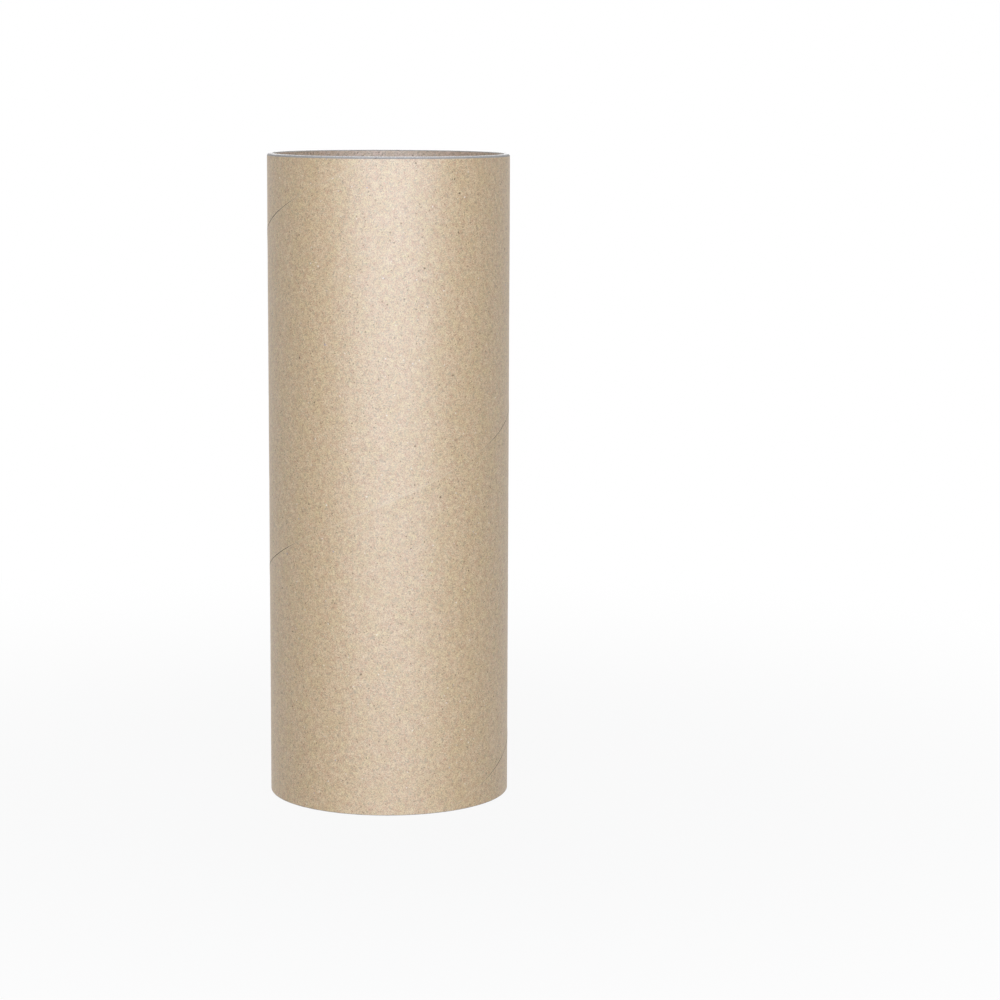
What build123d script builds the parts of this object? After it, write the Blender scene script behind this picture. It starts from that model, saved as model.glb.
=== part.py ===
from build123d import *
import os
from math import atan, ceil, cos, pi, sin

# Paper core: a tube wound from paper strips, a grey board wall between two kraft plies.
# The axis is +Z, the foot stands on the XY plane and the origin is the foot's centre.

# Tube, in millimetres
bore_diameter = 101.6  # four-inch core
inner_ply_thickness = 0.5
board_thickness = 1.8
outer_ply_thickness = 0.5
glue_line = 0.1  # film of glue between the board and each kraft ply
core_length = 287.0

# Spiral winding, right-handed and with one lead for every ply
winding_lead = 150.0  # rise of a seam in one turn
seam_gap = 0.3  # open width of the butt seams, square to the seam
outer_seam_height = 26.3  # where the outer seam first crosses the +X side
inner_seam_height = 101.3  # where the inner seam first crosses the +X side

# Bevels that the parting knife leaves round the outer corners, wide at the head and slight at the foot
head_bevel_depth = 0.8  # across the wall
head_bevel_height = 1.0  # along the tube
foot_bevel_depth = 0.3
foot_bevel_height = 0.3
bevel_overrun_share = 0.5  # of a bevel, past each of its ends

# How far the seam cuts pass the faces of a ply
cut_overrun = 1.0

# Inner radius of each layer, and the outside of the core
bore_radius = bore_diameter / 2
board_radius = bore_radius + inner_ply_thickness + glue_line
outer_ply_radius = board_radius + board_thickness + glue_line
outer_radius = outer_ply_radius + outer_ply_thickness

# Sections are drawn on the -X side: x is the radius, y is the height
section_plane = Plane((0, 0, 0), x_dir=(-1, 0, 0), z_dir=(0, 1, 0))


def wind_layer(inner_radius, thickness):
    """Adds the plain tube of one layer, from end to end of the core."""
    with BuildSketch(section_plane) as layer_section:
        with Locations((inner_radius, 0)):
            Rectangle(thickness, core_length, align=(Align.MIN, Align.MIN))
    revolve(layer_section.sketch, axis=Axis.Z)


def bevel_end(depth, height, end_height, outwards):
    """Takes a bevel off the outer corner at one end, through as many layers as it reaches."""
    past_depth = depth * bevel_overrun_share
    past_height = height * bevel_overrun_share
    past_end = end_height + outwards * past_height
    on_end_face = (outer_radius - depth - past_depth, past_end)
    on_outside = (outer_radius + past_depth, end_height - outwards * (height + past_height))
    clear_corner = (outer_radius + past_depth, past_end)
    with BuildSketch(section_plane) as bevel_section:
        with BuildLine() as bevel_outline:
            Polyline(on_end_face, on_outside, clear_corner, close=True)
        make_face()
    revolve(bevel_section.sketch, axis=Axis.Z, mode=Mode.SUBTRACT)


def bevel_both_ends():
    """Bevels the head and the foot of a layer."""
    bevel_end(head_bevel_depth, head_bevel_height, core_length, 1)
    bevel_end(foot_bevel_depth, foot_bevel_height, 0, -1)


def open_seam(inner_radius, thickness, seam_height):
    """Opens the spiral butt seam of a ply turn by turn, right through it and past both ends."""
    middle_radius = inner_radius + thickness / 2
    rise_angle = atan(winding_lead / (2 * pi * middle_radius))
    along_seam = (0, cos(rise_angle), sin(rise_angle))
    turns_below = ceil((seam_height + cut_overrun) / winding_lead)
    turns_above = ceil((core_length + cut_overrun - seam_height) / winding_lead)
    for turn in range(-turns_below, turns_above):
        turn_height = seam_height + turn * winding_lead
        turn_start = Plane((middle_radius, 0, turn_height), x_dir=(1, 0, 0), z_dir=along_seam)
        with BuildLine() as seam_turn:
            Helix(winding_lead, winding_lead, middle_radius, center=(0, 0, turn_height))
        with BuildSketch(turn_start) as seam_section:
            Rectangle(thickness + 2 * cut_overrun, seam_gap)
        sweep(seam_section.sketch, seam_turn.line, is_frenet=True, mode=Mode.SUBTRACT, clean=False)


# Kraft strip that lines the bore
with BuildPart() as inner_ply:
    wind_layer(bore_radius, inner_ply_thickness)
    open_seam(bore_radius, inner_ply_thickness, inner_seam_height)

# Grey board plies, glued into one wall
with BuildPart() as board_wall:
    wind_layer(board_radius, board_thickness)
    bevel_both_ends()

# Kraft strip on the outside
with BuildPart() as outer_ply:
    wind_layer(outer_ply_radius, outer_ply_thickness)
    bevel_both_ends()
    open_seam(outer_ply_radius, outer_ply_thickness, outer_seam_height)

os.makedirs("parts", exist_ok=True)

inner_ply.part.label = "inner_ply"
export_step(inner_ply.part, "parts/inner_ply.step")

board_wall.part.label = "board_wall"
export_step(board_wall.part, "parts/board_wall.step")

outer_ply.part.label = "outer_ply"
export_step(outer_ply.part, "parts/outer_ply.step")
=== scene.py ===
import math

import bpy
from mathutils import Euler, Matrix, Vector


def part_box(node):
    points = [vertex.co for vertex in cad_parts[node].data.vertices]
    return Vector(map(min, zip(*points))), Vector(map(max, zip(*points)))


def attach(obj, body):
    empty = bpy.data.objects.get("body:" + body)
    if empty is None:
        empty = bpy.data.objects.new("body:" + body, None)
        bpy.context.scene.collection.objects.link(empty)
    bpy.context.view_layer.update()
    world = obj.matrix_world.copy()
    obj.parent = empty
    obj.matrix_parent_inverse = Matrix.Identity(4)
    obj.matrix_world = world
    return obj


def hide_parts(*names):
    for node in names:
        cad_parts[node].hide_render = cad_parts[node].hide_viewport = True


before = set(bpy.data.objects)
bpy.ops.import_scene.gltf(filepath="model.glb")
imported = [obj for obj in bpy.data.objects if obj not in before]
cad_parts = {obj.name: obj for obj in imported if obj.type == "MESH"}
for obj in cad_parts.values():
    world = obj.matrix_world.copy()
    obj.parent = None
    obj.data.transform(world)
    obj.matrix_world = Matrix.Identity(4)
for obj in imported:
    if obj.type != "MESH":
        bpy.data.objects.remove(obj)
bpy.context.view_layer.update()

MM = 0.001

# Core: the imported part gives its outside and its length, and the wall is laid up from the outside inwards
outer_radius = -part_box("outer_ply")[0].x
core_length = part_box("board_wall")[1].z
kraft_thickness = 0.5 * MM
board_thickness = 1.8 * MM
glue_line = 0.1 * MM
outer_ply_back = outer_radius - kraft_thickness
board_outside = outer_ply_back - glue_line
board_inside = board_outside - board_thickness
inner_ply_back = board_inside - glue_line
bore_radius = inner_ply_back - kraft_thickness

# Spiral winding, right-handed
winding_lead = 150.0 * MM
outer_seam_height = 26.3 * MM
inner_seam_height = 101.3 * MM
board_plies = 4

# Bevels that the parting knife leaves round the outer corners, wide at the head and slight at the foot
head_bevel_depth = 0.8 * MM
head_bevel_height = 1.0 * MM
foot_bevel_depth = 0.3 * MM
foot_bevel_height = 0.3 * MM
burr_height = 0.4 * MM  # torn edge of the bore ply at the head, where the knife came through

# Steps of the meshes: along a kraft strip and round its section, then round the wall and round its section
columns_per_turn = 288
face_steps = 72
edge_steps = 2
back_steps = 3
wall_columns = 720
wall_end_steps = 20
wall_bevel_steps = 3
wall_side_steps = 4

# Where most values of a noise lie
noise_spread = (0.25, 0.75)


# Nodes, for trees of both kinds


def fill(tree, socket, value):
    """Sets an input, or links it where the value is the output of another node."""
    if isinstance(value, bpy.types.NodeSocket):
        tree.links.new(value, socket)
    else:
        socket.default_value = value


def add(tree, kind, fills=None, **settings):
    """Adds a node with its settings, and fills its inputs by name or number."""
    node = tree.nodes.new(kind)
    for name, value in settings.items():
        setattr(node, name, value)
    for key, value in (fills or {}).items():
        fill(tree, node.inputs[key], value)
    return node


def calc(tree, operation, *values):
    """One sum of plain numbers."""
    node = add(tree, "ShaderNodeMath", dict(enumerate(values)), operation=operation)
    return node.outputs[0]


def calc_vector(tree, operation, *values):
    """One sum of vectors."""
    node = add(tree, "ShaderNodeVectorMath", dict(enumerate(values)), operation=operation)
    return node.outputs[0]


def ramp(tree, value, start, end, low=0.0, high=1.0, shape="LINEAR"):
    """Runs from low to high while the value goes from start to end, and stays there outside."""
    fills = {"Value": value, "From Min": start, "From Max": end, "To Min": low, "To Max": high}
    return add(tree, "ShaderNodeMapRange", fills, interpolation_type=shape, clamp=True).outputs[0]


def whole(tree, operation, *values):
    """One sum of whole numbers."""
    node = add(tree, "FunctionNodeIntegerMath", dict(enumerate(values)), operation=operation)
    return node.outputs[0]


def noise(tree, place, scale, detail, space="2D", roughness=0.5):
    """Smooth random patches over a place: first a value, then a colour."""
    fills = {"Vector": place, "Scale": scale, "Detail": detail, "Roughness": roughness}
    return add(tree, "ShaderNodeTexNoise", fills, noise_dimensions=space).outputs


def ripple(tree, along, finest, seed):
    """Smooth random numbers from 0 to 1 along a line, one swing in about each finest length."""
    turns = calc(tree, "DIVIDE", along, finest)
    fills = {"W": calc(tree, "ADD", turns, seed), "Scale": 1.0, "Detail": 2.0}
    swing = add(tree, "ShaderNodeTexNoise", fills, noise_dimensions="1D").outputs[0]
    return ramp(tree, swing, *noise_spread)


# Shapes


def open_shape_tree(name, sizes):
    """Starts a Geometry Nodes tree with the named inputs that it is given."""
    tree = bpy.data.node_groups.new(name, "GeometryNodeTree")
    tree.interface.new_socket("Shape", in_out="OUTPUT", socket_type="NodeSocketGeometry")
    for label, kind in sizes.items():
        tree.interface.new_socket(label, in_out="INPUT", socket_type="NodeSocket" + kind)
    return tree, tree.nodes.new("NodeGroupInput").outputs


def close_shape_tree(tree, given, shape):
    """Ends a tree: what is repeated is made real, and the finish goes on."""
    real = add(tree, "GeometryNodeRealizeInstances", {"Geometry": shape}).outputs[0]
    finished = add(tree, "GeometryNodeSetMaterial", {"Geometry": real, "Material": given["Finish"]})
    out = tree.nodes.new("NodeGroupOutput")
    tree.links.new(finished.outputs[0], out.inputs[0])


def store(tree, shape, name, value, kind, domain):
    """Keeps a value on the mesh under a name that materials can read."""
    fills = {"Geometry": shape, "Name": name, "Value": value}
    node = add(tree, "GeometryNodeStoreNamedAttribute", fills, data_type=kind, domain=domain)
    return node.outputs[0]


def weld(tree, shape):
    """Joins what meets, drops what has no face left, and keeps only real corners sharp."""
    reach = 0.0005 * MM
    sharpest_curve = math.radians(28)
    joined = add(tree, "GeometryNodeMergeByDistance", {"Geometry": shape, "Distance": reach}).outputs[0]
    edge_faces = add(tree, "GeometryNodeInputMeshEdgeNeighbors").outputs[0]
    bare_edge = calc(tree, "LESS_THAN", edge_faces, 0.5)
    fills = {"Geometry": joined, "Selection": bare_edge}
    joined = add(tree, "GeometryNodeDeleteGeometry", fills, domain="EDGE").outputs[0]
    point_faces = add(tree, "GeometryNodeInputMeshVertexNeighbors").outputs["Face Count"]
    bare_point = calc(tree, "LESS_THAN", point_faces, 0.5)
    fills = {"Geometry": joined, "Selection": bare_point}
    joined = add(tree, "GeometryNodeDeleteGeometry", fills, domain="POINT").outputs[0]
    fills = {"Geometry": joined, "Shade Smooth": True}
    smooth = add(tree, "GeometryNodeSetShadeSmooth", fills, domain="FACE").outputs[0]
    bend = add(tree, "GeometryNodeInputMeshEdgeAngle").outputs["Unsigned Angle"]
    corner = calc(tree, "GREATER_THAN", bend, sharpest_curve)
    fills = {"Geometry": smooth, "Selection": corner, "Shade Smooth": False}
    return add(tree, "GeometryNodeSetShadeSmooth", fills, domain="EDGE").outputs[0]


def plan_wound_strip():
    """A paper strip wound as a helix.

    Its section is a closed loop round the shown face, the upper edge, the back and the lower edge.
    """
    tree, given = open_shape_tree("wound_strip", {
        "Shown Radius": "Float", "Back Radius": "Float", "Length": "Float",
        "Lead": "Float", "Seam Height": "Float", "Seam Gap": "Float", "Tight Share": "Float",
        "Head Bevel Depth": "Float", "Head Bevel Height": "Float",
        "Foot Bevel Depth": "Float", "Foot Bevel Height": "Float",
        "First Column": "Int", "Columns": "Int", "Columns per Turn": "Int",
        "Face Steps": "Int", "Edge Steps": "Int", "Back Steps": "Int",
        "Plies Below": "Int", "Settle": "Float",
        "Ghost Depth": "Float", "Wave": "Float", "Fray": "Float",
        "Seed": "Float", "Finish": "Material",
    })
    columns, face, edge, back = (given[name] for name in ("Columns", "Face Steps", "Edge Steps", "Back Steps"))
    seed = given["Seed"]

    # Habits that every wound strip shares
    crowding = 0.9  # how strongly rows crowd, 1 at most
    seam_parts_from = 0.68  # cosine of the angle where the seam starts to open
    gap_swing = (0.6, 1.4)  # least and most of its half gap that an edge leaves
    low_gap_length = 7 * MM
    top_gap_length = 9 * MM
    fray_length = 1.6 * MM
    closing_height = 0.1 * MM  # height over which a strip that runs out thins to nothing
    upper_curl = 5 * MM
    lower_curl = 2.5 * MM
    ghost_reach = 3 * MM
    wave_scale = 28.0
    wave_stretch = 0.6

    # The loop of the section: up the shown face, across the upper edge, down the back, out over the lower edge
    edge_start = face
    back_start = whole(tree, "ADD", face, edge)
    foot_start = whole(tree, "ADD", back_start, back)
    loop_steps = whole(tree, "ADD", foot_start, edge)
    grid = add(tree, "GeometryNodeMeshGrid", {
        "Size X": 1.0, "Size Y": 1.0,
        "Vertices X": whole(tree, "ADD", columns, 1),
        "Vertices Y": whole(tree, "ADD", loop_steps, 1),
    }).outputs["Mesh"]
    place = add(tree, "GeometryNodeInputPosition").outputs[0]
    place = add(tree, "ShaderNodeSeparateXYZ", {0: place}).outputs
    column = calc(tree, "ROUND", calc(tree, "MULTIPLY", calc(tree, "ADD", place[0], 0.5), columns))
    row = calc(tree, "ROUND", calc(tree, "MULTIPLY", calc(tree, "ADD", place[1], 0.5), loop_steps))
    up_face = ramp(tree, row, 0.0, face)
    over_edge = ramp(tree, row, edge_start, back_start)
    down_back = ramp(tree, row, back_start, foot_start)
    over_foot = ramp(tree, row, foot_start, loop_steps)
    even_across = calc(tree, "SUBTRACT", up_face, down_back)
    loop_depth = calc(tree, "SUBTRACT", over_edge, over_foot)

    # Rows crowd at the seam and over the seams of the plies below, where the sheet bends
    waves = calc(tree, "MULTIPLY", given["Plies Below"], 2 * math.pi)
    shift = calc(tree, "SINE", calc(tree, "MULTIPLY", even_across, waves))
    shift = calc(tree, "DIVIDE", calc(tree, "MULTIPLY", shift, crowding), waves)
    across = calc(tree, "SUBTRACT", even_across, shift)

    # Where each column stands, and the strip's two edges there, which meet tightly in front and part at the sides
    turn = calc(tree, "DIVIDE", calc(tree, "ADD", given["First Column"], column), given["Columns per Turn"])
    angle = calc(tree, "MULTIPLY", turn, 2 * math.pi)
    run = calc(tree, "MULTIPLY", angle, given["Shown Radius"])
    seam = calc(tree, "MULTIPLY_ADD", turn, given["Lead"], given["Seam Height"])
    sine = calc(tree, "SINE", angle)
    cosine = calc(tree, "COSINE", angle)
    to_side = calc(tree, "ABSOLUTE", cosine)
    opening = ramp(tree, to_side, seam_parts_from, 1.0, given["Tight Share"], 1.0, "SMOOTHSTEP")
    half_gap = calc(tree, "MULTIPLY", calc(tree, "MULTIPLY", given["Seam Gap"], opening), 0.5)

    def edge_gap(length, gap_seed):
        """The half gap that one edge leaves, a little uneven along the strip."""
        swing = ramp(tree, ripple(tree, run, length, gap_seed), 0, 1, *gap_swing)
        return calc(tree, "MULTIPLY", half_gap, swing)

    low_gap = edge_gap(low_gap_length, seed)
    top_gap = edge_gap(top_gap_length, calc(tree, "ADD", seed, 31.7))
    lower = calc(tree, "ADD", seam, low_gap)
    upper = calc(tree, "SUBTRACT", calc(tree, "ADD", seam, given["Lead"]), top_gap)
    raw_height = calc(tree, "MULTIPLY_ADD", across, calc(tree, "SUBTRACT", upper, lower), lower)

    # The knife's cut at both ends, slightly frayed, which closes the strip to a point where it runs out
    def end_fray(seed_step):
        """How far the torn fibres stand back from a cut."""
        torn = ripple(tree, run, fray_length, calc(tree, "ADD", seed, seed_step))
        return calc(tree, "MULTIPLY", given["Fray"], torn)

    low_fray = end_fray(57.1)
    top_fray = end_fray(83.3)
    inwards = calc(tree, "SUBTRACT", given["Back Radius"], given["Shown Radius"])
    thickness = calc(tree, "ABSOLUTE", inwards)

    def depth_at_tip(room, end):
        """How deep an end's bevel lies, as a share of the ply, where only this much height is left."""
        share = calc(tree, "SUBTRACT", 1.0, calc(tree, "DIVIDE", room, given[end + " Bevel Height"]))
        tip = calc(tree, "DIVIDE", calc(tree, "MULTIPLY", share, given[end + " Bevel Depth"]), thickness)
        closing = ramp(tree, room, 0.0, closing_height, 1.0, 0.0)
        return calc(tree, "MINIMUM", calc(tree, "MAXIMUM", tip, closing), 1.0)

    def cut_at_depth(depth, end):
        """How much height an end's bevel takes off at this depth, which is a share of the ply."""
        share = calc(tree, "DIVIDE", calc(tree, "MULTIPLY", depth, thickness), given[end + " Bevel Depth"])
        cut = calc(tree, "MULTIPLY", calc(tree, "SUBTRACT", 1.0, share), given[end + " Bevel Height"])
        return calc(tree, "MAXIMUM", cut, 0.0)

    low_tip = depth_at_tip(calc(tree, "SUBTRACT", upper, low_fray), "Foot")
    head_room = calc(tree, "SUBTRACT", calc(tree, "SUBTRACT", given["Length"], top_fray), lower)
    top_tip = depth_at_tip(head_room, "Head")
    depth = calc(tree, "MAXIMUM", loop_depth, calc(tree, "MAXIMUM", low_tip, top_tip))
    low_end = calc(tree, "ADD", cut_at_depth(depth, "Foot"), low_fray)
    head_height = calc(tree, "SUBTRACT", given["Length"], cut_at_depth(depth, "Head"))
    top_end = calc(tree, "SUBTRACT", head_height, top_fray)
    height = calc(tree, "MAXIMUM", calc(tree, "MINIMUM", raw_height, top_end), low_end)

    # Relief of the shown face: it lies a little low, curls up at both edges and dips over the seams of the plies below
    above_seam = calc(tree, "SUBTRACT", height, lower)
    below_seam = calc(tree, "SUBTRACT", upper, height)
    off_upper_edge = ramp(tree, below_seam, 0.0, upper_curl, shape="SMOOTHSTEP")
    off_lower_edge = ramp(tree, above_seam, 0.0, lower_curl, shape="SMOOTHSTEP")
    settle = calc(tree, "MULTIPLY", given["Settle"], off_upper_edge)
    settle = calc(tree, "MULTIPLY", settle, off_lower_edge)
    ply_place = calc(tree, "DIVIDE", above_seam, calc(tree, "SUBTRACT", upper, lower))
    ply_place = calc(tree, "MULTIPLY", ply_place, given["Plies Below"])
    off_ghost = calc(tree, "ABSOLUTE", calc(tree, "SUBTRACT", ply_place, calc(tree, "ROUND", ply_place)))
    off_ghost = calc(tree, "DIVIDE", calc(tree, "MULTIPLY", off_ghost, given["Lead"]), given["Plies Below"])
    over_seam = ramp(tree, off_ghost, 0.0, ghost_reach, 1.0, 0.0, "SMOOTHSTEP")
    ghost = calc(tree, "MULTIPLY", given["Ghost Depth"], over_seam)
    shown = given["Shown Radius"]
    on_tube = add(tree, "ShaderNodeCombineXYZ", {
        "X": calc(tree, "MULTIPLY", cosine, shown),
        "Y": calc(tree, "MULTIPLY", sine, shown),
        "Z": calc(tree, "MULTIPLY", height, wave_stretch),
    }).outputs[0]
    fills = {"Vector": on_tube, "W": seed, "Scale": wave_scale, "Detail": 1.0}
    bumps = add(tree, "ShaderNodeTexNoise", fills, noise_dimensions="4D").outputs[0]
    wave = calc(tree, "MULTIPLY", given["Wave"], ramp(tree, bumps, *noise_spread))
    relief = calc(tree, "ADD", settle, calc(tree, "ADD", ghost, wave))
    relief = calc(tree, "DIVIDE", relief, thickness)
    relief = calc(tree, "MULTIPLY", relief, calc(tree, "SUBTRACT", 1.0, depth))
    radius = calc(tree, "MULTIPLY_ADD", calc(tree, "ADD", depth, relief), inwards, shown)
    wound = add(tree, "ShaderNodeCombineXYZ", {
        "X": calc(tree, "MULTIPLY", cosine, radius),
        "Y": calc(tree, "MULTIPLY", sine, radius),
        "Z": height,
    }).outputs[0]

    # The flat sheet that the strip was before winding: x runs along it and y across it
    turn_length = calc(tree, "MULTIPLY", shown, 2 * math.pi)
    slope = calc(tree, "ARCTANGENT", calc(tree, "DIVIDE", given["Lead"], turn_length))
    slope_sine = calc(tree, "SINE", slope)
    slope_cosine = calc(tree, "COSINE", slope)
    run_along = calc(tree, "MULTIPLY", run, slope_cosine)
    run_across = calc(tree, "MULTIPLY", run, slope_sine)
    rise_along = calc(tree, "MULTIPLY", height, slope_sine)
    rise_across = calc(tree, "MULTIPLY", height, slope_cosine)
    flat = add(tree, "ShaderNodeCombineXYZ", {
        "X": calc(tree, "ADD", run_along, rise_along),
        "Y": calc(tree, "SUBTRACT", rise_across, run_across),
    }).outputs[0]

    # The map that the finish is kept on: the shown face fills it turn by turn, and thin bands below hold the rest
    bands_per_turn = 3.0
    band_height = 0.005
    band_fill = 0.7
    band_margin = 0.15
    face_height = 0.93
    face_start = 0.068
    turn_width = 0.996
    turn_margin = 0.002
    face_row = add(tree, "GeometryNodeFieldOnDomain", {0: row}, domain="FACE", data_type="FLOAT").outputs[0]
    face_turn = add(tree, "GeometryNodeFieldOnDomain", {0: turn}, domain="FACE", data_type="FLOAT").outputs[0]
    face_turn = calc(tree, "FLOOR", face_turn)
    hidden = calc(tree, "GREATER_THAN", face_row, face)
    first_turn = calc(tree, "FLOOR", calc(tree, "DIVIDE", given["First Column"], given["Columns per Turn"]))
    past_edge = calc(tree, "GREATER_THAN", face_row, back_start)
    past_back = calc(tree, "GREATER_THAN", face_row, foot_start)
    band = calc(tree, "ADD", past_edge, past_back)
    band = calc(tree, "MULTIPLY_ADD", calc(tree, "SUBTRACT", face_turn, first_turn), bands_per_turn, band)
    within = calc(tree, "ADD", calc(tree, "ADD", over_edge, down_back), over_foot)
    within = calc(tree, "SUBTRACT", within, calc(tree, "FLOORED_MODULO", band, bands_per_turn))
    within = calc(tree, "MULTIPLY_ADD", within, band_fill, band_margin)
    band_v = calc(tree, "MULTIPLY", calc(tree, "ADD", band, within), band_height)
    face_v = calc(tree, "MULTIPLY_ADD", calc(tree, "DIVIDE", height, given["Length"]), face_height, face_start)
    hidden_v = calc(tree, "MULTIPLY", band_v, hidden)
    shown_v = calc(tree, "MULTIPLY", face_v, calc(tree, "SUBTRACT", 1.0, hidden))
    map_v = calc(tree, "ADD", hidden_v, shown_v)
    map_u = calc(tree, "MULTIPLY_ADD", calc(tree, "SUBTRACT", turn, face_turn), turn_width, turn_margin)
    bake_place = add(tree, "ShaderNodeCombineXYZ", {"X": map_u, "Y": map_v}).outputs[0]

    sheet = store(tree, grid, "flat_sheet", flat, "FLOAT2", "CORNER")
    sheet = store(tree, sheet, "OFBake", bake_place, "FLOAT2", "CORNER")
    sheet = store(tree, sheet, "cut_edge", hidden, "FLOAT", "FACE")
    near_seam = calc(tree, "MINIMUM", above_seam, below_seam)
    sheet = store(tree, sheet, "near_seam", near_seam, "FLOAT", "POINT")
    sheet = add(tree, "GeometryNodeSetPosition", {"Geometry": sheet, "Position": wound}).outputs[0]
    faces_in = calc(tree, "LESS_THAN", given["Shown Radius"], given["Back Radius"])
    sheet = add(tree, "GeometryNodeFlipFaces", {"Mesh": sheet, "Selection": faces_in}).outputs[0]
    close_shape_tree(tree, given, weld(tree, sheet))
    return tree


def plan_board_wall():
    """The grey wall: a ring whose two cut ends show its plies, a little torn and uneven, bevelled at the head."""
    tree, given = open_shape_tree("board_wall", {
        "Inside Radius": "Float", "Outside Radius": "Float", "Length": "Float",
        "Head Bevel Depth": "Float", "Head Bevel Height": "Float", "Plies": "Int",
        "Columns": "Int", "End Steps": "Int", "Bevel Steps": "Int", "Wall Steps": "Int",
        "Ply Step": "Float", "Ply Groove": "Float", "Tear": "Float",
        "Seed": "Float", "Finish": "Material",
    })
    columns, end, bevel, wall = (given[name] for name in ("Columns", "End Steps", "Bevel Steps", "Wall Steps"))
    seed = given["Seed"]

    # Habits of the cut ends
    joint_margin = 0.001  # share of a ply, so that a point on a joint belongs to the ply inside it
    ply_seed_step = 3.7
    head_seed_step = 41.0
    step_scale = 2.2
    step_spread = (0.3, 0.7)
    groove_reach = 0.22  # share of a ply, on each side of a joint
    tear_scale = 1400.0
    tear_spread = (0.3, 0.75)
    end_skin = 0.001 * MM  # a point this near to an end lies on it

    # The loop of the section: out over the foot, up the outside, up the bevel, in over the head, down the inside
    wall_start = end
    bevel_start = whole(tree, "ADD", wall_start, wall)
    head_start = whole(tree, "ADD", bevel_start, bevel)
    bore_start = whole(tree, "ADD", head_start, end)
    loop_steps = whole(tree, "ADD", bore_start, wall)
    grid = add(tree, "GeometryNodeMeshGrid", {
        "Size X": 1.0, "Size Y": 1.0,
        "Vertices X": whole(tree, "ADD", columns, 1),
        "Vertices Y": whole(tree, "ADD", loop_steps, 1),
    }).outputs["Mesh"]
    place = add(tree, "GeometryNodeInputPosition").outputs[0]
    place = add(tree, "ShaderNodeSeparateXYZ", {0: place}).outputs
    column = calc(tree, "ROUND", calc(tree, "MULTIPLY", calc(tree, "ADD", place[0], 0.5), columns))
    row = calc(tree, "ROUND", calc(tree, "MULTIPLY", calc(tree, "ADD", place[1], 0.5), loop_steps))
    column = calc(tree, "FLOORED_MODULO", column, columns)
    over_foot = ramp(tree, row, 0.0, wall_start)
    up_wall = ramp(tree, row, wall_start, bevel_start)
    up_bevel = ramp(tree, row, bevel_start, head_start)
    over_head = ramp(tree, row, head_start, bore_start)
    down_bore = ramp(tree, row, bore_start, loop_steps)
    wall_width = calc(tree, "SUBTRACT", given["Outside Radius"], given["Inside Radius"])
    head_width = calc(tree, "SUBTRACT", wall_width, given["Head Bevel Depth"])
    radius = calc(tree, "MULTIPLY_ADD", over_foot, wall_width, given["Inside Radius"])
    radius = calc(tree, "SUBTRACT", radius, calc(tree, "MULTIPLY", up_bevel, given["Head Bevel Depth"]))
    radius = calc(tree, "SUBTRACT", radius, calc(tree, "MULTIPLY", over_head, head_width))
    straight = calc(tree, "SUBTRACT", given["Length"], given["Head Bevel Height"])
    height = calc(tree, "MULTIPLY_ADD", up_wall, straight, calc(tree, "MULTIPLY", up_bevel, given["Head Bevel Height"]))
    height = calc(tree, "SUBTRACT", height, calc(tree, "MULTIPLY", down_bore, given["Length"]))
    angle = calc(tree, "DIVIDE", calc(tree, "MULTIPLY", column, 2 * math.pi), columns)
    sine = calc(tree, "SINE", angle)
    cosine = calc(tree, "COSINE", angle)
    across_x = calc(tree, "MULTIPLY", cosine, radius)
    across_y = calc(tree, "MULTIPLY", sine, radius)

    # Relief of the cut ends, always into the wall: each ply at its own height, grooves between them, torn fibres
    ply_place = calc(tree, "DIVIDE", calc(tree, "SUBTRACT", radius, given["Inside Radius"]), wall_width)
    ply_place = calc(tree, "MULTIPLY", ply_place, given["Plies"])
    ply = calc(tree, "FLOOR", calc(tree, "SUBTRACT", ply_place, joint_margin))
    at_head = calc(tree, "GREATER_THAN", height, calc(tree, "MULTIPLY", given["Length"], 0.5))
    layer = calc(tree, "MULTIPLY_ADD", ply, ply_seed_step, seed)
    layer = calc(tree, "ADD", layer, calc(tree, "MULTIPLY", at_head, head_seed_step))
    round_place = add(tree, "ShaderNodeCombineXYZ", {"X": cosine, "Y": sine, "Z": layer}).outputs[0]
    unevenness = noise(tree, round_place, step_scale, 2.0, "3D")[0]
    step = calc(tree, "MULTIPLY", given["Ply Step"], ramp(tree, unevenness, *step_spread))
    off_joint = calc(tree, "ABSOLUTE", calc(tree, "SUBTRACT", ply_place, calc(tree, "ROUND", ply_place)))
    at_joint = ramp(tree, off_joint, 0.0, groove_reach, 1.0, 0.0, "SMOOTHSTEP")
    groove = calc(tree, "MULTIPLY", given["Ply Groove"], at_joint)
    fine_place = add(tree, "ShaderNodeCombineXYZ", {"X": across_x, "Y": across_y, "Z": at_head}).outputs[0]
    torn = noise(tree, fine_place, tear_scale, 2.0, "3D")[0]
    tear = calc(tree, "MULTIPLY", given["Tear"], ramp(tree, torn, *tear_spread))
    relief = calc(tree, "ADD", calc(tree, "ADD", step, groove), tear)
    on_foot_end = calc(tree, "LESS_THAN", height, end_skin)
    on_head_end = calc(tree, "GREATER_THAN", height, calc(tree, "SUBTRACT", given["Length"], end_skin))
    lift = calc(tree, "MULTIPLY", relief, calc(tree, "SUBTRACT", on_foot_end, on_head_end))
    cut_height = calc(tree, "ADD", height, lift)
    cut_place = add(tree, "ShaderNodeCombineXYZ", {"X": across_x, "Y": across_y, "Z": cut_height}).outputs[0]

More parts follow.
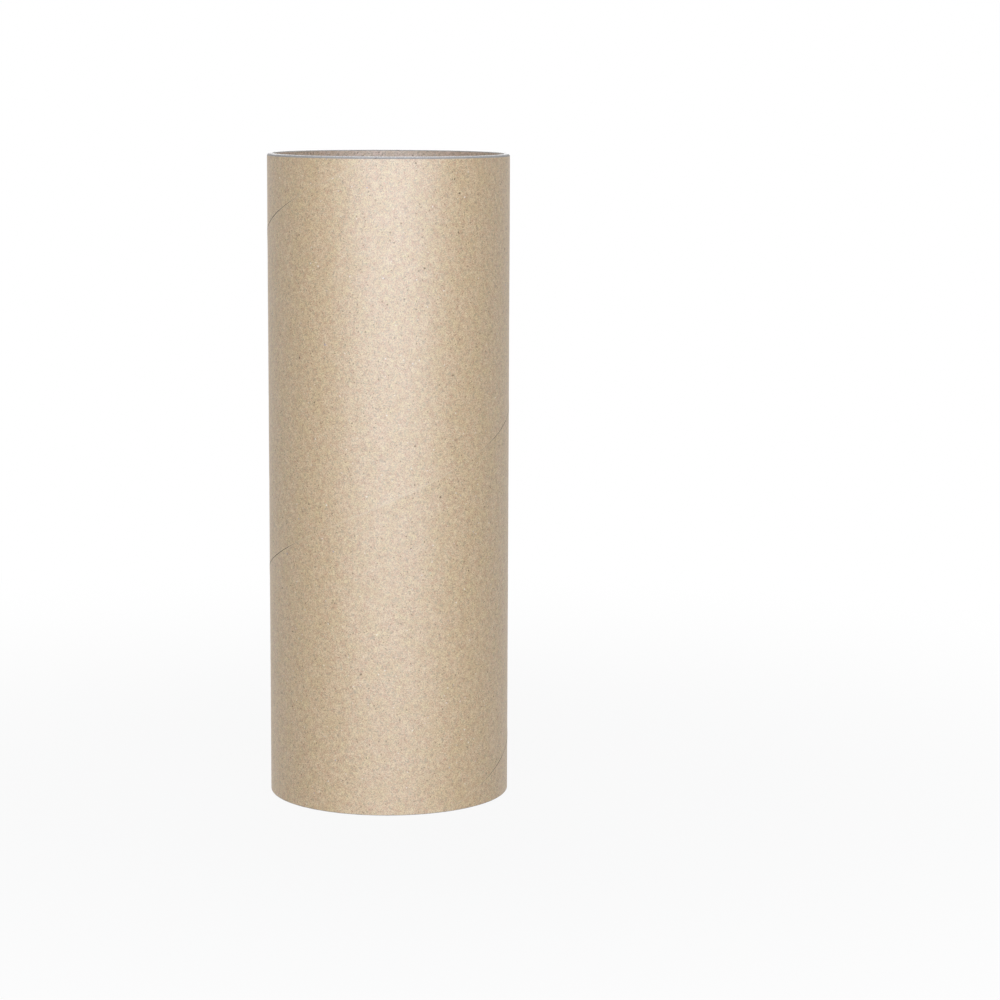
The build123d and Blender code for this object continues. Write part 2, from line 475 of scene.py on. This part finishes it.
    # Which faces are the flat ends, and which are glued to the kraft plies
    face_row = add(tree, "GeometryNodeFieldOnDomain", {0: row}, domain="FACE", data_type="FLOAT").outputs[0]
    past_bevel = calc(tree, "GREATER_THAN", face_row, head_start)
    before_bore = calc(tree, "LESS_THAN", face_row, bore_start)
    on_head = calc(tree, "MULTIPLY", past_bevel, before_bore)
    on_foot = calc(tree, "LESS_THAN", face_row, wall_start)
    end_face = calc(tree, "MAXIMUM", on_head, on_foot)
    past_foot = calc(tree, "GREATER_THAN", face_row, wall_start)
    before_bevel = calc(tree, "LESS_THAN", face_row, bevel_start)
    on_outside = calc(tree, "MULTIPLY", past_foot, before_bevel)
    on_inside = calc(tree, "GREATER_THAN", face_row, bore_start)
    glued_face = calc(tree, "MAXIMUM", on_outside, on_inside)
    ring = store(tree, grid, "end_face", end_face, "FLOAT", "FACE")
    ring = store(tree, ring, "glued_face", glued_face, "FLOAT", "FACE")
    ring = add(tree, "GeometryNodeSetPosition", {"Geometry": ring, "Position": cut_place}).outputs[0]
    close_shape_tree(tree, given, weld(tree, ring))
    return tree


def grow(name, tree, sizes):
    """Runs a shape tree with its sizes and keeps what it makes as a plain mesh on an object of that name."""
    piece = bpy.data.objects.new(name, bpy.data.meshes.new(name + "_start"))
    bpy.context.scene.collection.objects.link(piece)
    modifier = piece.modifiers.new("shape", "NODES")
    modifier.node_group = tree
    for item in tree.interface.items_tree:
        if item.in_out == "INPUT":
            modifier[item.identifier] = sizes[item.name]
    graph = bpy.context.evaluated_depsgraph_get()
    mesh = bpy.data.meshes.new_from_object(piece.evaluated_get(graph), preserve_all_data_layers=True, depsgraph=graph)
    piece.modifiers.remove(modifier)
    piece.data = mesh
    mesh.name = name
    return piece


def wind_strip(name, tree, finish, shown, back, seam_height, knife, relief):
    """Winds one kraft strip onto the core, from where it runs out at the foot to where it does at the head."""
    first = math.floor(-(seam_height + winding_lead) / winding_lead * columns_per_turn) - 1
    last = math.ceil((core_length - seam_height) / winding_lead * columns_per_turn) + 1
    return grow(name, tree, {
        "Shown Radius": shown, "Back Radius": back, "Length": core_length,
        "Lead": winding_lead, "Seam Height": seam_height,
        "First Column": first, "Columns": last - first, "Columns per Turn": columns_per_turn,
        "Face Steps": face_steps, "Edge Steps": edge_steps, "Back Steps": back_steps,
        "Plies Below": board_plies, "Finish": finish, **knife, **relief,
    })


# Finishes


def open_effect(name, inputs, outputs):
    """Starts a shader group with named inputs and outputs."""
    group = bpy.data.node_groups.new(name, "ShaderNodeTree")
    for label, (kind, value) in inputs.items():
        socket = group.interface.new_socket(label, in_out="INPUT", socket_type="NodeSocket" + kind)
        if value is not None:
            socket.default_value = value
    for label, kind in outputs.items():
        group.interface.new_socket(label, in_out="OUTPUT", socket_type="NodeSocket" + kind)
    return group, group.nodes.new("NodeGroupInput").outputs


def close_effect(group, results):
    """Hands the group's results out under their names."""
    out = group.nodes.new("NodeGroupOutput")
    for label, value in results.items():
        fill(group, out.inputs[label], value)


def use(tree, group, **fills):
    """Places a group in a material with values of its own."""
    node = tree.nodes.new("ShaderNodeGroup")
    node.node_tree = group
    for label, value in fills.items():
        fill(tree, node.inputs[label.replace("_", " ")], value)
    return node.outputs


def tint(tree, share, under, over, how="MIX"):
    """Lays one colour over another by a share."""
    node = add(tree, "ShaderNodeMix", {0: share, 6: under, 7: over}, data_type="RGBA", blend_type=how)
    return node.outputs[2]


def tint_by(tree, mask, strength, under, over):
    """Lays one colour over another where a mask is, at a strength."""
    return tint(tree, calc(tree, "MULTIPLY", mask, strength), under, over)


def plan_paper_fibres():
    """Matted fibres of a paper face, with its fine grain and its soft clouds. The sheet is in millimetres."""
    group, given = open_effect(
        "paper_fibres",
        {"Sheet": ("Vector", None), "Fineness": ("Float", 1.0), "Cloud Size": ("Float", 8.0)},
        {
            "Pale Fibres": "Float", "Dark Fibres": "Float", "Grain": "Float",
            "Clouds": "Float", "Hue Drift": "Float", "Height": "Float",
        },
    )
    middle = (0.5, 0.5, 0.5)

    # Fibres lie in four directions and bend as they go; each direction has its angle and its shift
    bend_scale = 0.55
    bend_reach = (2.2, 2.2, 0.0)
    lays = ((0.0, 3.1), (0.7, 17.9), (1.5, 29.3), (2.3, 43.7))
    fibre_draw = (0.5, 1.7, 1.0)
    pale_from, pale_to = 0.66, 0.76
    dark_from, dark_to = 0.35, 0.26
    sheet = calc_vector(group, "MULTIPLY", given["Sheet"], given["Fineness"])
    bend = noise(group, sheet, bend_scale, 1.0)["Color"]
    bend = calc_vector(group, "SUBTRACT", bend, middle)
    bend = calc_vector(group, "MULTIPLY", bend, bend_reach)
    bent_sheet = calc_vector(group, "ADD", sheet, bend)
    pale = 0.0
    dark = 0.0
    for lay_angle, lay_shift in lays:
        fills = {"Vector": bent_sheet, "Angle": lay_angle}
        turned = add(group, "ShaderNodeVectorRotate", fills, rotation_type="Z_AXIS").outputs[0]
        drawn = calc_vector(group, "MULTIPLY_ADD", turned, fibre_draw, (lay_shift, -lay_shift, 0.0))
        strand = noise(group, drawn, 1.0, 1.0)[0]
        pale = calc(group, "MAXIMUM", pale, ramp(group, strand, pale_from, pale_to))
        dark = calc(group, "MAXIMUM", dark, ramp(group, strand, dark_from, dark_to))

    # Grain, from patches of three sizes
    fine_scale, fine_share = 2.1, 0.62
    coarse_scale, coarse_share = 1.1, 0.33
    mottle_scale, mottle_share = 0.36, 0.35
    grain_from, grain_to = 0.40, 0.90
    fine = noise(group, sheet, fine_scale, 0.0)[0]
    coarse = noise(group, bent_sheet, coarse_scale, 0.0)[0]
    mottle = noise(group, sheet, mottle_scale, 1.0)[0]
    grain = calc(group, "MULTIPLY_ADD", coarse, coarse_share, calc(group, "MULTIPLY", fine, fine_share))
    grain = calc(group, "MULTIPLY_ADD", mottle, mottle_share, grain)
    grain = ramp(group, grain, grain_from, grain_to)

    # Clouds, and a drift of hue that goes its own way
    drift_shift = (71.3, 12.9, 0.0)
    drift_scale = 1.3
    drift_from, drift_to = 0.3, 0.7
    cloud_sheet = calc_vector(group, "DIVIDE", given["Sheet"], given["Cloud Size"])
    clouds = noise(group, cloud_sheet, 1.0, 3.0, roughness=0.55)[0]
    clouds = ramp(group, clouds, *noise_spread)
    drift_sheet = calc_vector(group, "ADD", cloud_sheet, drift_shift)
    drift = noise(group, drift_sheet, drift_scale, 1.0, roughness=0.4)[0]
    drift = ramp(group, drift, drift_from, drift_to)

    # Relief: pale fibres and grain stand up, dark fibres lie low
    pale_rise = 0.5
    grain_rise = 0.6
    dark_drop = 0.35
    height = calc(group, "ADD", calc(group, "MULTIPLY", pale, pale_rise), calc(group, "MULTIPLY", grain, grain_rise))
    height = calc(group, "SUBTRACT", height, calc(group, "MULTIPLY", dark, dark_drop))
    close_effect(group, {
        "Pale Fibres": pale, "Dark Fibres": dark, "Grain": grain,
        "Clouds": clouds, "Hue Drift": drift, "Height": height,
    })
    return group


def plan_specks():
    """Scattered specks of bark, shive and waste pulp. Sheet and sizes are in millimetres."""
    group, given = open_effect(
        "specks",
        {
            "Sheet": ("Vector", None), "Spacing": ("Float", 4.0), "Share": ("Float", 0.3),
            "Smallest": ("Float", 0.1), "Largest": ("Float", 0.4), "Shift": ("Float", 0.0),
        },
        {"Specks": "Float", "Pick": "Float"},
    )
    shifted = calc_vector(group, "ADD", given["Sheet"], given["Shift"])
    rough = noise(group, shifted, 1.3, 1.0)["Color"]
    rough = calc_vector(group, "SUBTRACT", rough, (0.5, 0.5, 0.5))
    rough = calc_vector(group, "MULTIPLY", rough, (0.7, 0.7, 0.0))
    shifted = calc_vector(group, "ADD", shifted, rough)
    cells = calc_vector(group, "DIVIDE", shifted, given["Spacing"])
    cell = add(group, "ShaderNodeTexVoronoi", {"Vector": cells, "Scale": 1.0}, voronoi_dimensions="2D").outputs
    chance = add(group, "ShaderNodeSeparateColor", {0: cell["Color"]}).outputs
    far = calc(group, "MULTIPLY", cell["Distance"], given["Spacing"])
    size = ramp(group, calc(group, "POWER", chance["Green"], 2.0), 0.0, 1.0, given["Smallest"], given["Largest"])
    spot = ramp(group, far, calc(group, "MULTIPLY", size, 1.2), calc(group, "MULTIPLY", size, 0.7))
    there = calc(group, "LESS_THAN", chance["Red"], given["Share"])
    close_effect(group, {"Specks": calc(group, "MULTIPLY", spot, there), "Pick": chance["Blue"]})
    return group


def plan_edge_rub():
    """Patchy rubbing that fades away from an edge. The distance and the reach are in one unit."""
    group, given = open_effect(
        "edge_rub",
        {"Sheet": ("Vector", None), "Distance": ("Float", 10.0), "Reach": ("Float", 1.0)},
        {"Rub": "Float"},
    )
    patch_scale = 0.5
    least_reach, most_reach = 0.15, 1.6
    patches = noise(group, given["Sheet"], patch_scale, 3.0, "3D", 0.65)[0]
    reach = ramp(group, patches, 0.3, 0.7, least_reach, most_reach)
    reach = calc(group, "MULTIPLY", given["Reach"], reach)
    close_effect(group, {"Rub": ramp(group, given["Distance"], 0.0, reach, 1.0, 0.0, "SMOOTHSTEP")})
    return group


def start_finish(name, roughness, ior):
    """A new material with its Principled shader, and the values that are the same all over it."""
    finish = bpy.data.materials.new(name)
    finish.use_nodes = True
    tree = finish.node_tree
    shader = tree.nodes["Principled BSDF"]
    shader.inputs["Roughness"].default_value = roughness
    shader.inputs["IOR"].default_value = ior
    return finish, tree, shader


def roughen(tree, shader, height, depth, roughness):
    """Raises a finish's small relief, and lets its roughness swing a little with it."""
    swing = 0.05
    bump_strength = 0.6
    dull = ramp(tree, height, 0.0, 1.0, roughness - swing, roughness + swing)
    tree.links.new(dull, shader.inputs["Roughness"])
    bump = add(tree, "ShaderNodeBump", {"Strength": bump_strength, "Distance": depth, "Height": height})
    tree.links.new(bump.outputs[0], shader.inputs["Normal"])


def grey(level):
    """A plain grey."""
    return (level, level, level, 1.0)


# Specks: the lengths are in millimetres, and Share is how many of the places hold one
bark_specks = {"Spacing": 1.5, "Share": 0.24, "Smallest": 0.13, "Largest": 0.34, "Shift": 23.0}
shive_specks = {"Spacing": 7.0, "Share": 0.12, "Smallest": 0.22, "Largest": 0.45, "Shift": 0.0}
pulp_specks = {"Spacing": 3.2, "Share": 0.12, "Smallest": 0.14, "Largest": 0.34, "Shift": 40.0}
dyed_flecks = {"Spacing": 9.0, "Share": 0.16, "Smallest": 0.2, "Largest": 0.5, "Shift": 90.0}
board_chips = {"Spacing": 1.6, "Share": 0.22, "Smallest": 0.06, "Largest": 0.28, "Shift": 15.0}
shive_strength = 0.9
pulp_strength = 0.7
fleck_strength = 0.5
chip_strength = 0.6

# Dyes of the flecks, each from its place on a scale of chance
fleck_dyes = (
    (0.0, (0.10, 0.14, 0.34, 1)),
    (0.3, (0.52, 0.16, 0.08, 1)),
    (0.55, (0.55, 0.40, 0.08, 1)),
    (0.8, (0.24, 0.30, 0.14, 1)),
)


def kraft_finish(name, fibres, specks, edge_rub, paper, look):
    """Brown kraft paper, with grey board where the knife or the slitter cut it."""
    finish, tree, shader = start_finish(name, look["roughness"], look["ior"])
    shader.inputs["Coat IOR"].default_value = look["glaze ior"]
    shader.inputs["Coat Roughness"].default_value = look["glaze roughness"]
    sheet = add(tree, "ShaderNodeUVMap", uv_map="flat_sheet").outputs[0]
    sheet = calc_vector(tree, "MULTIPLY", sheet, (1 / MM, 1 / MM, 0.0))

    # Pulp: clouds, a drift of hue, grain and fibres
    matted = use(tree, fibres, Sheet=sheet, Fineness=look["fineness"], Cloud_Size=look["cloud size"])
    colour = tint(tree, matted["Clouds"], paper["shade"], paper["main"])
    colour = tint_by(tree, matted["Hue Drift"], look["drift"], colour, paper["blush"])
    grain = tint(tree, matted["Grain"], look["grain low"], look["grain high"])
    colour = tint(tree, 1.0, colour, grain, "MULTIPLY")
    colour = tint_by(tree, matted["Pale Fibres"], look["pale"], colour, paper["pale"])
    colour = tint_by(tree, matted["Dark Fibres"], look["dark"], colour, paper["dark"])

    # Specks of bark, shive and waste pulp, and a few dyed flecks
    bark = use(tree, specks, Sheet=sheet, **bark_specks)["Specks"]
    bark = calc(tree, "MULTIPLY", bark, look["bark"])
    colour = tint(tree, bark, colour, paper["shive"])
    shives = use(tree, specks, Sheet=sheet, **shive_specks)["Specks"]
    colour = tint_by(tree, shives, shive_strength, colour, paper["shive"])
    pulp = use(tree, specks, Sheet=sheet, **pulp_specks)["Specks"]
    colour = tint_by(tree, pulp, pulp_strength, colour, paper["pulp"])
    flecks = use(tree, specks, Sheet=sheet, **dyed_flecks)
    dyes = tree.nodes.new("ShaderNodeValToRGB")
    dyes.color_ramp.interpolation = "CONSTANT"
    for place, _ in fleck_dyes[2:]:
        dyes.color_ramp.elements.new(place)
    for element, (place, dye) in zip(dyes.color_ramp.elements, fleck_dyes):
        element.position = place
        element.color = dye
    tree.links.new(flecks["Pick"], dyes.inputs[0])
    colour = tint_by(tree, flecks["Specks"], fleck_strength, colour, dyes.outputs[0])

    # Rubbed along the seam, in millimetres, and bare pulp on the cut edges, with painted shade on the cut edges down in
    # the seam
    rub_reach = 0.8
    rub_strength = 0.35
    butt_from, butt_to = 0.05, 0.15
    near_seam = add(tree, "ShaderNodeAttribute", attribute_name="near_seam").outputs["Fac"]
    near_seam = calc(tree, "DIVIDE", near_seam, MM)
    rubbed = use(tree, edge_rub, Sheet=sheet, Distance=near_seam, Reach=rub_reach)
    colour = tint_by(tree, rubbed["Rub"], rub_strength, colour, paper["pale"])
    cut_edge = add(tree, "ShaderNodeAttribute", attribute_name="cut_edge").outputs["Fac"]
    cut_grain = tint(tree, matted["Grain"], paper["cut shade"], paper["cut"])
    # Near the seam the cut edges take a near-black colour: painted shade down in the gap
    cut_grain = tint(tree, ramp(tree, near_seam, butt_from, butt_to), paper["butt"], cut_grain)
    colour = tint(tree, cut_edge, colour, cut_grain)
    tree.links.new(colour, shader.inputs["Base Color"])

    # Glaze, thinner on pale fibres and none on specks and cut edges
    full_glaze = 0.9
    glaze_thinning = 0.25
    glaze = calc(tree, "MULTIPLY_ADD", matted["Pale Fibres"], -glaze_thinning, full_glaze)
    bare = calc(tree, "MAXIMUM", calc(tree, "MAXIMUM", bark, shives), cut_edge)
    glaze = calc(tree, "MULTIPLY", glaze, calc(tree, "SUBTRACT", 1.0, bare))
    tree.links.new(glaze, shader.inputs["Coat Weight"])
    roughen(tree, shader, matted["Height"], look["relief"], look["roughness"])
    return finish


def board_finish(name, fibres, specks, edge_rub, board, look):
    """Grey chipboard, seen on the knife's cut: matted waste pulp with ply lines and specks."""
    finish, tree, shader = start_finish(name, look["roughness"], look["ior"])
    place = add(tree, "ShaderNodeTexCoord").outputs["Object"]
    place = calc_vector(tree, "MULTIPLY", place, (1 / MM, 1 / MM, 1 / MM))
    matted = use(tree, fibres, Sheet=place, Fineness=look["fineness"], Cloud_Size=look["cloud size"])
    end_face = add(tree, "ShaderNodeAttribute", attribute_name="end_face").outputs["Fac"]
    colour = tint(tree, matted["Clouds"], board["shade"], board["main"])
    # The flat end faces take a much paler copy of the board colour: a painted highlight for the top-lit rim seen at a
    # grazing angle
    colour = tint(tree, end_face, colour, board["end"])
    colour = tint_by(tree, matted["Pale Fibres"], look["pale"], colour, board["pale"])
    colour = tint_by(tree, matted["Dark Fibres"], look["dark"], colour, board["dark"])

    # Dark lines where the plies meet; their reach is a share of a ply
    joint_reach = 0.16
    joint_strength = 0.45
    axes = add(tree, "ShaderNodeSeparateXYZ", {0: place}).outputs
    x_square = calc(tree, "MULTIPLY", axes[0], axes[0])
    y_square = calc(tree, "MULTIPLY", axes[1], axes[1])
    radius = calc(tree, "SQRT", calc(tree, "ADD", x_square, y_square))
    ply_width = (outer_ply_back - inner_ply_back) / MM / board_plies
    ply_place = calc(tree, "DIVIDE", calc(tree, "SUBTRACT", radius, inner_ply_back / MM), ply_width)
    off_joint = calc(tree, "ABSOLUTE", calc(tree, "SUBTRACT", ply_place, calc(tree, "ROUND", ply_place)))
    joint = use(tree, edge_rub, Sheet=place, Distance=off_joint, Reach=joint_reach)
    colour = tint_by(tree, joint["Rub"], joint_strength, colour, board["joint"])
    chips = use(tree, specks, Sheet=place, **board_chips)
    colour = tint_by(tree, chips["Specks"], chip_strength, colour, board["chip"])
    # The faces under the kraft plies show only at the bottom of the seam gaps and get a near-black colour: painted
    # shade
    glued_face = add(tree, "ShaderNodeAttribute", attribute_name="glued_face").outputs["Fac"]
    colour = tint(tree, glued_face, colour, board["glued"])
    tree.links.new(colour, shader.inputs["Base Color"])
    roughen(tree, shader, matted["Height"], look["relief"], look["roughness"])
    return finish


# Studio


def set_camera():
    """The photo's view: from in front, a little above the rim, with the core left of the middle."""
    stand = (0, -1.30123, 0.32412)
    tilt_down = 8.3967
    turn_right = 2.198
    roll = 0.2558
    camera = bpy.data.objects.new("camera", bpy.data.cameras.new("camera"))
    camera.data.sensor_width = 36.0
    camera.data.lens = 105.2
    turned = Euler((math.radians(90 - tilt_down), 0, math.radians(-turn_right))).to_matrix()
    turned = turned @ Matrix.Rotation(math.radians(roll), 3, "Z")
    camera.matrix_world = Matrix.Translation(stand) @ turned.to_4x4()
    bpy.context.scene.collection.objects.link(camera)
    bpy.context.scene.camera = camera


def add_softbox(name, place, aim, width, height, brightness, colour=(1, 1, 1)):
    """A soft panel lamp; brightness is what its face shows, where 1 is white."""
    lamp = bpy.data.lights.new(name, "AREA")
    lamp.shape = "RECTANGLE"
    lamp.size = width
    lamp.size_y = height
    lamp.energy = brightness * math.pi * width * height
    lamp.color = colour
    panel = bpy.data.objects.new(name, lamp)
    towards = Vector(aim) - Vector(place)
    panel.visible_camera = False
    panel.matrix_world = Matrix.Translation(place) @ towards.to_track_quat("-Z", "Y").to_matrix().to_4x4()
    bpy.context.scene.collection.objects.link(panel)


def rays_that_see_white(tree):
    """1 for rays from the camera, from gloss and through glass; 0 for the light that falls on things."""
    path = tree.nodes.new("ShaderNodeLightPath").outputs
    seen = calc(tree, "MAXIMUM", path["Is Camera Ray"], path["Is Glossy Ray"])
    return calc(tree, "MAXIMUM", seen, path["Is Transmission Ray"])


def set_world(ambient):
    """White to look at, and an even soft light on the object."""
    world = bpy.data.worlds.new("white_room")
    bpy.context.scene.world = world
    world.use_nodes = True
    tree = world.node_tree
    tree.nodes.clear()
    soft = add(tree, "ShaderNodeBackground", {"Color": (1, 1, 1, 1), "Strength": ambient}).outputs[0]
    white = add(tree, "ShaderNodeBackground", {"Color": (1, 1, 1, 1), "Strength": 1.0}).outputs[0]
    mixed = add(tree, "ShaderNodeMixShader", {0: rays_that_see_white(tree), 1: soft, 2: white}).outputs[0]
    add(tree, "ShaderNodeOutputWorld", {"Surface": mixed})


def lay_floor():
    """A pale floor, white to look at away from the object and with the object's soft shadow under it."""
    half = 8.0
    paint_level = 0.55
    fade_from, fade_to = 0.08, 0.6  # distance from the axis over which the shadow fades out
    least_glow = 0.92
    corners = [(-half, -half, 0), (half, -half, 0), (half, half, 0), (-half, half, 0)]
    mesh = bpy.data.meshes.new("floor")
    mesh.from_pydata(corners, [], [(0, 1, 2, 3)])
    floor = bpy.data.objects.new("floor", mesh)
    bpy.context.scene.collection.objects.link(floor)
    finish = bpy.data.materials.new("pale_floor")
    finish.use_nodes = True
    tree = finish.node_tree
    tree.nodes.clear()
    paint = add(tree, "ShaderNodeBsdfDiffuse", {"Color": grey(paint_level)}).outputs[0]
    glow = add(tree, "ShaderNodeEmission", {"Color": grey(1.0), "Strength": 1.0}).outputs[0]
    place = add(tree, "ShaderNodeTexCoord").outputs["Object"]
    far = add(tree, "ShaderNodeVectorMath", {0: place}, operation="LENGTH").outputs["Value"]
    share = ramp(tree, far, fade_from, fade_to, least_glow, 1.0, "SMOOTHSTEP")
    share = calc(tree, "MULTIPLY", share, rays_that_see_white(tree))
    mixed = add(tree, "ShaderNodeMixShader", {0: share, 1: paint, 2: glow}).outputs[0]
    add(tree, "ShaderNodeOutputMaterial", {"Surface": mixed})
    mesh.materials.append(finish)


# The core, layer by layer

paper_fibres = plan_paper_fibres()
mill_specks = plan_specks()
edge_rub = plan_edge_rub()

# The seam colour below is near black: painted shade for the strip's cut edges down in the seam gap
cut_paper = {
    "cut": (0.43, 0.40, 0.36, 1), "cut shade": (0.32, 0.295, 0.265, 1), "butt": (0.06, 0.045, 0.03, 1),
}
outside_paper = {
    "main": (0.49, 0.309, 0.089, 1), "shade": (0.446, 0.276, 0.074, 1), "blush": (0.493, 0.305, 0.106, 1),
    "pale": (0.64, 0.48, 0.27, 1), "dark": (0.20, 0.12, 0.02, 1),
    "shive": (0.13, 0.085, 0.05, 1), "pulp": (0.80, 0.74, 0.66, 1), **cut_paper,
}
inside_paper = {
    "main": (0.60, 0.44, 0.28, 1), "shade": (0.54, 0.385, 0.235, 1), "blush": (0.61, 0.425, 0.31, 1),
    "pale": (0.72, 0.58, 0.42, 1), "dark": (0.22, 0.15, 0.07, 1),
    "shive": (0.12, 0.08, 0.05, 1), "pulp": (0.74, 0.68, 0.60, 1), **cut_paper,
}
board_pulp = {
    # The end colour is a paler copy of the main one: a painted highlight on the flat cut ends
    "main": (0.62, 0.585, 0.53, 1), "shade": (0.52, 0.49, 0.45, 1), "end": (0.84, 0.82, 0.78, 1),
    "pale": (0.74, 0.76, 0.79, 1), "dark": (0.30, 0.31, 0.33, 1),
    # The near-black colour of the faces under the kraft plies is painted shade for the bottom of the seam gaps
    "joint": (0.27, 0.26, 0.25, 1), "chip": (0.16, 0.15, 0.15, 1), "glued": (0.07, 0.055, 0.04, 1),
}
outside_look = {
    "roughness": 0.6, "ior": 1.5, "glaze ior": 2.8, "glaze roughness": 0.56,
    "fineness": 1.0, "cloud size": 9.0, "drift": 1.0,
    "grain low": (0.68, 0.36, 0.0, 1), "grain high": (1.32, 1.64, 2.4, 1),
    "pale": 0.45, "dark": 0.7, "bark": 0.65, "relief": 0.02 * MM,
}
inside_look = {
    "roughness": 0.6, "ior": 1.5, "glaze ior": 2.4, "glaze roughness": 0.57,
    "fineness": 1.0, "cloud size": 9.0, "drift": 0.8,
    "grain low": (0.76, 0.66, 0.5, 1), "grain high": (1.24, 1.34, 1.5, 1),
    "pale": 0.7, "dark": 0.7, "bark": 0.65, "relief": 0.05 * MM,
}
board_look = {
    "roughness": 0.3, "ior": 1.9, "fineness": 1.6, "cloud size": 6.0,
    "pale": 0.5, "dark": 0.4, "relief": 0.004 * MM,
}
kraft_outside = kraft_finish("kraft_outside", paper_fibres, mill_specks, edge_rub, outside_paper, outside_look)
kraft_inside = kraft_finish("kraft_inside", paper_fibres, mill_specks, edge_rub, inside_paper, inside_look)
grey_board = board_finish("grey_board", paper_fibres, mill_specks, edge_rub, board_pulp, board_look)

wound_strip = plan_wound_strip()
outer_knife = {
    "Head Bevel Depth": head_bevel_depth, "Head Bevel Height": head_bevel_height,
    "Foot Bevel Depth": foot_bevel_depth, "Foot Bevel Height": foot_bevel_height,
}
inner_knife = {
    "Head Bevel Depth": kraft_thickness, "Head Bevel Height": burr_height,
    "Foot Bevel Depth": 0.0, "Foot Bevel Height": 0.0,
}
outer_relief = {
    "Seam Gap": 0.36 * MM, "Tight Share": 0.08, "Settle": 0.1 * MM, "Ghost Depth": 0.025 * MM,
    "Wave": 0.06 * MM, "Fray": 0.04 * MM, "Seed": 2.0,
}
inner_relief = {
    "Seam Gap": 0.25 * MM, "Tight Share": 0.1, "Settle": 0.08 * MM, "Ghost Depth": 0.02 * MM,
    "Wave": 0.06 * MM, "Fray": 0.06 * MM, "Seed": 9.0,
}
outer_wrap = wind_strip(
    "kraft_wrap", wound_strip, kraft_outside, outer_radius, outer_ply_back, outer_seam_height, outer_knife, outer_relief
)
bore_lining = wind_strip(
    "bore_lining", wound_strip, kraft_inside, bore_radius, inner_ply_back, inner_seam_height, inner_knife, inner_relief
)

# The glue has set flush, so the grey wall is drawn out to both kraft plies
board_cut_depth = head_bevel_depth - kraft_thickness
board_cut_height = board_cut_depth * head_bevel_height / head_bevel_depth
board_ring = grow("grey_wall", plan_board_wall(), {
    "Inside Radius": inner_ply_back, "Outside Radius": outer_ply_back, "Length": core_length,
    "Head Bevel Depth": board_cut_depth, "Head Bevel Height": board_cut_height, "Plies": board_plies,
    "Columns": wall_columns, "End Steps": wall_end_steps,
    "Bevel Steps": wall_bevel_steps, "Wall Steps": wall_side_steps,
    "Ply Step": 0.02 * MM, "Ply Groove": 0.012 * MM, "Tear": 0.006 * MM,
    "Seed": 5.0, "Finish": grey_board,
})

for piece, node, slot in (
    (outer_wrap, "outer_ply", "kraft_outside"),
    (board_ring, "board_wall", "grey_board"),
    (bore_lining, "inner_ply", "kraft_inside"),
):
    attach(piece, "root")
    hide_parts(node)

set_camera()
set_world(ambient=0.06)
add_softbox(
    "front_softbox", place=(0.06, -1.75, 0.56), aim=(0, 0, 0.16),
    width=2.8, height=1.35, brightness=3.2, colour=(0.91, 1.0, 1.18),
)
add_softbox("top_softbox", place=(0, 0.25, 1.8), aim=(0, 0, 0.287), width=0.8, height=0.8, brightness=4.0)
add_softbox("back_softbox", place=(-0.3, 2.0, 1.4), aim=(0, 0, 0.15), width=1.6, height=1.0, brightness=2.2)
lay_floor()
bpy.context.scene.view_settings.view_transform = "Standard"
